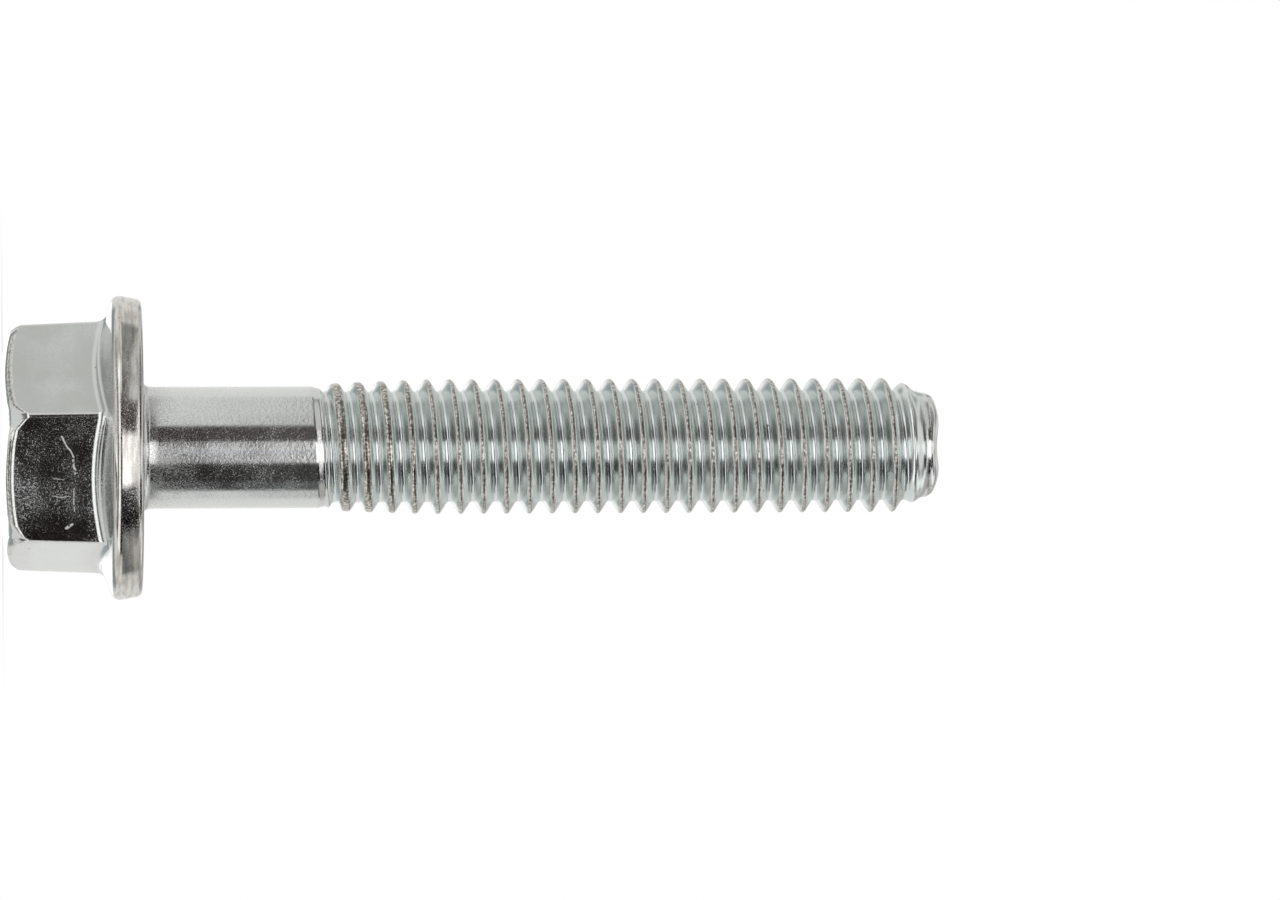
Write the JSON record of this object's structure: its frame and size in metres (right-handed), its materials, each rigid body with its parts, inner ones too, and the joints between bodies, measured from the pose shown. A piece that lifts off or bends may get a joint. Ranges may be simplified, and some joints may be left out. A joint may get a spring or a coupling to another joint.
{
  "type": "hex flange screw",
  "caption": "Hexagon flange screw with a partly threaded shank, a crowned head with a shallow round dish, and a plain bearing flange, bright zinc plated.",
  "frame": {"origin": "on the screw's axis, at the end face of the head, on which it stands", "axes": "+Z along the axis from the head to the tip of the thread, +Y square to one of the hexagon's flats"},
  "size_m": [0.0132, 0.0132, 0.041],
  "materials": {
    "zinc_plated_steel": "bright zinc plating over forged and rolled steel, clear passivated, finely speckled"
  },
  "bodies": {
    "root": {"flange_screw": "zinc_plated_steel"}
  },
  "joints": []
}
